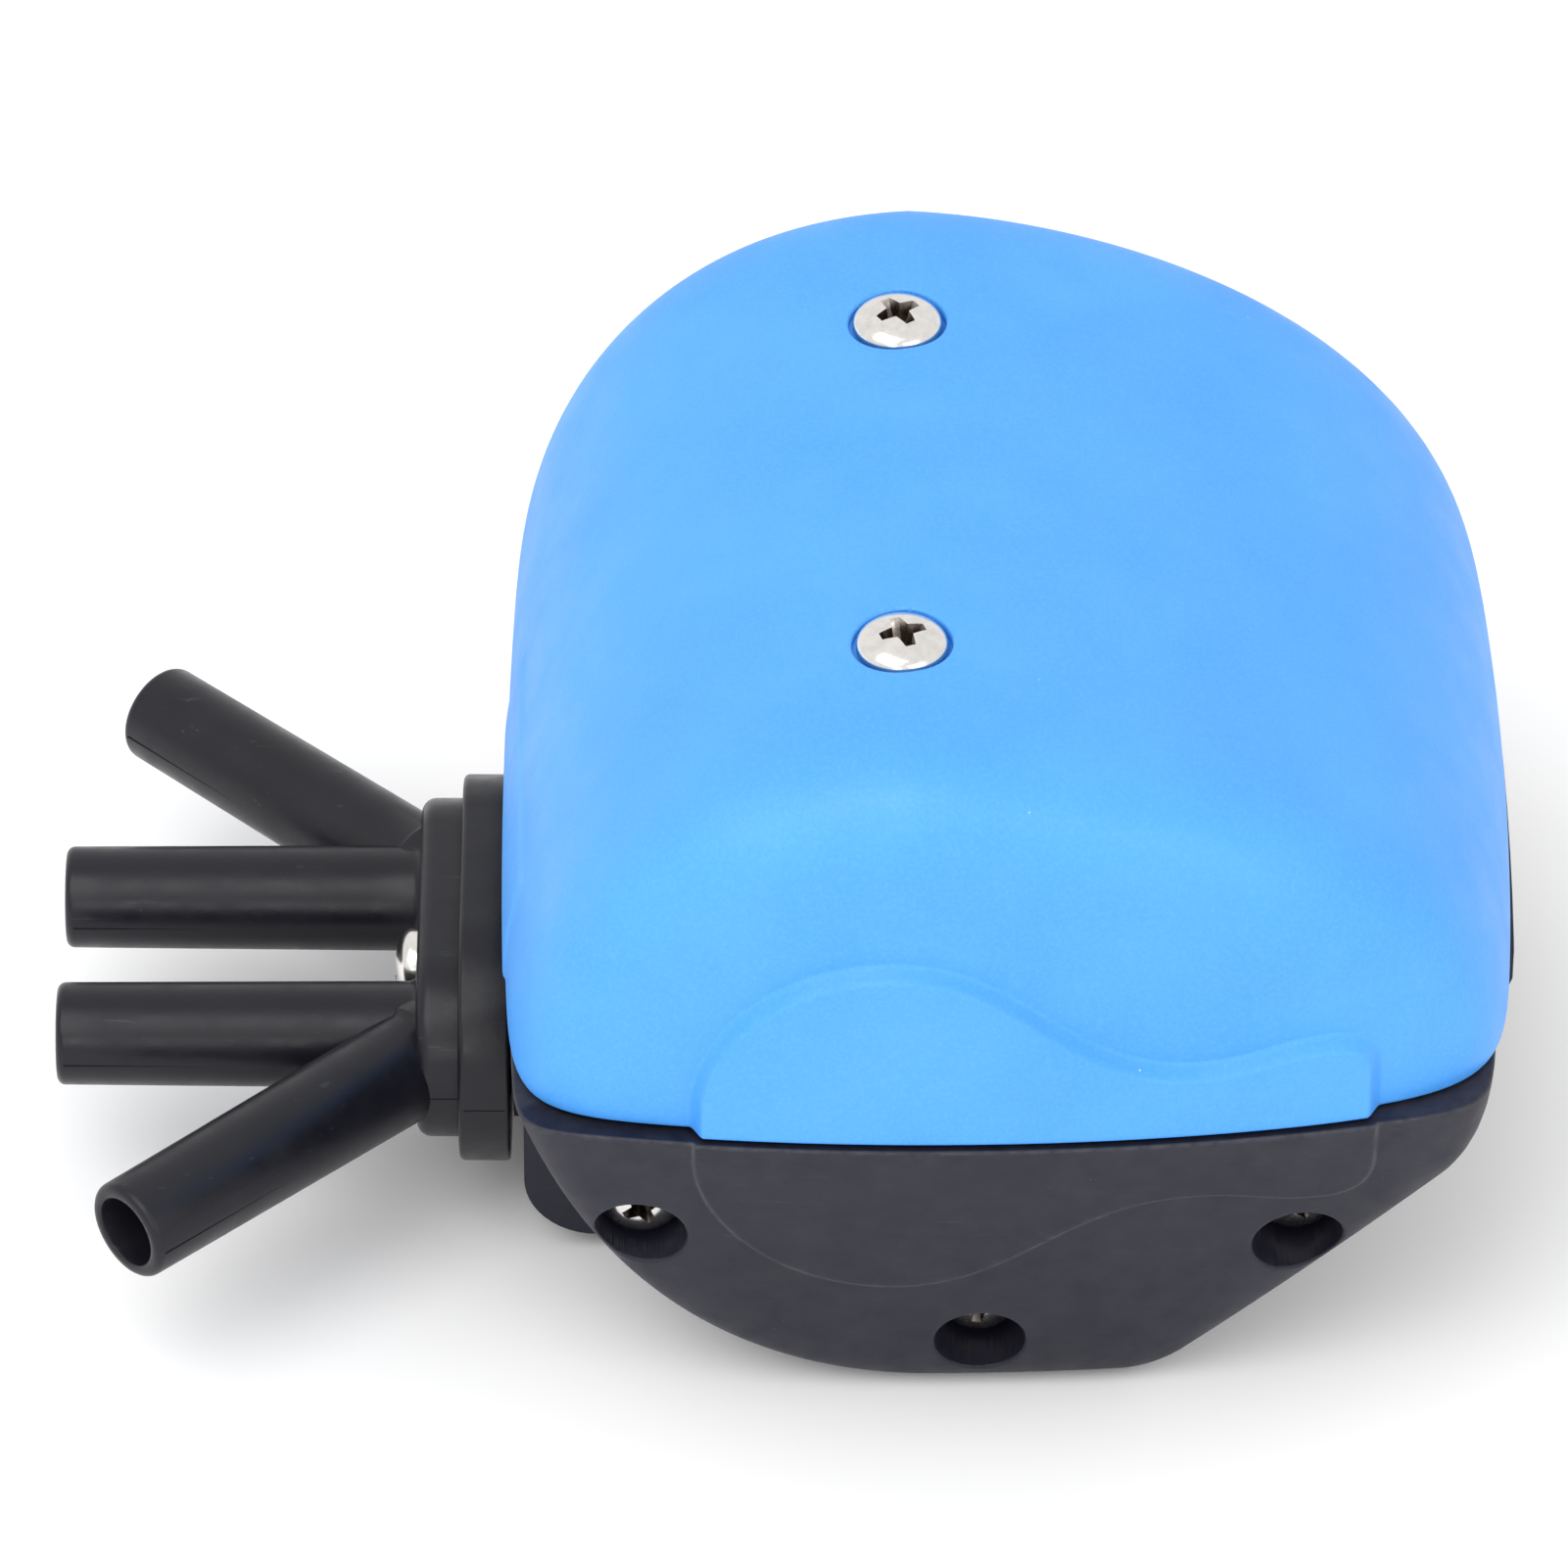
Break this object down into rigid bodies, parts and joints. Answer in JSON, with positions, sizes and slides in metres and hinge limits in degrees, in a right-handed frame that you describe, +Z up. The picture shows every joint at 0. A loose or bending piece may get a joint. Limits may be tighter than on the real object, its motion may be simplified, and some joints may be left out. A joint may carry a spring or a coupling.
{
  "type": "pneumatic milking pulsator",
  "caption": "Vacuum-driven diaphragm pulsator: blue hood over a black clamshell body, splayed hose nozzles at one end and a vacuum inlet underneath.",
  "frame": {"origin": "on the resting plane, under the middle of the whole part's box", "axes": "+X along the length, away from the hose nozzles; +Y towards the back shell; +Z up"},
  "size_m": [0.129, 0.0944, 0.0727],
  "materials": {
    "cover_blue": "moulded blue plastic with a fine matte texture",
    "housing_black": "satin black moulded plastic with faint scuffs",
    "nozzle_black": "semi-gloss black moulded plastic",
    "rubber_black": "matte black rubber",
    "slide_white": "natural white low-friction plastic",
    "filter_foam": "open-cell dark grey foam",
    "screw_steel": "bright stainless steel",
    "brass": "machined brass"
  },
  "bodies": {
    "housing": {"valve_body": "housing_black", "shell_front": "housing_black", "shell_back": "housing_black", "cover": "cover_blue", "air_filter": "filter_foam", "cover_screw_front": "screw_steel", "cover_screw_back": "screw_steel", "shell_screw_front_left": "screw_steel", "shell_screw_front_bottom": "screw_steel", "shell_screw_front_right": "screw_steel", "shell_screw_front_upper_left": "screw_steel", "shell_screw_front_upper_right": "screw_steel", "shell_screw_back_left": "screw_steel", "shell_screw_back_bottom": "screw_steel", "shell_screw_back_right": "screw_steel", "shell_screw_back_upper_left": "screw_steel", "shell_screw_back_upper_right": "screw_steel", "diaphragm_front": "rubber_black", "diaphragm_back": "rubber_black", "rod_bush_front": "slide_white", "rod_bush_back": "slide_white", "valve_plate": "housing_black", "valve_plate_gasket": "rubber_black", "lever_pin": "screw_steel", "manifold": "nozzle_black", "manifold_gasket": "rubber_black", "manifold_screw": "screw_steel", "inlet_grommet": "rubber_black"},
    "shuttle": {"shuttle_rod": "screw_steel", "slide_yoke": "slide_white", "slide_valve": "slide_white", "slide_spring": "screw_steel", "diaphragm_plate_inner_front": "slide_white", "diaphragm_plate_inner_back": "slide_white", "diaphragm_plate_outer_front": "slide_white", "diaphragm_plate_outer_back": "slide_white", "rod_nut_front": "brass", "rod_nut_back": "brass"},
    "lever": {"pilot_lever": "slide_white"},
    "pilot": {"pilot_slide": "slide_white"},
    "rate_screw": {"rate_screw": "brass", "rate_screw_ring": "rubber_black"}
  },
  "joints": [
    {"name": "shuttle_slide", "type": "slide", "parent": "housing", "child": "shuttle", "axis": [0, 1, 0], "range_m": [-0.003, 0.003], "deforming": ["diaphragm_front", "diaphragm_back"]},
    {"name": "lever_swing", "type": "hinge", "parent": "housing", "child": "lever", "pos_m": [0.02857, 0, 0.04], "axis": [1, 0, 0], "range_deg": [-24.6, 24.6]},
    {"name": "pilot_travel", "type": "slide", "parent": "housing", "child": "pilot", "axis": [0, 1, 0], "range_m": [-0.003, 0.003]},
    {"name": "rate_screw_turn", "type": "hinge", "parent": "housing", "child": "rate_screw", "pos_m": [0.04807, 0, 0.0145], "axis": [0.7071, 0, -0.7071], "range_deg": [-240, 720]}
  ],
  "couplings": [
    {"joint": "lever_swing", "follows": "shuttle_slide", "rad_per_m": -142.86},
    {"joint": "pilot_travel", "follows": "shuttle_slide", "ratio": -1}
  ]
}
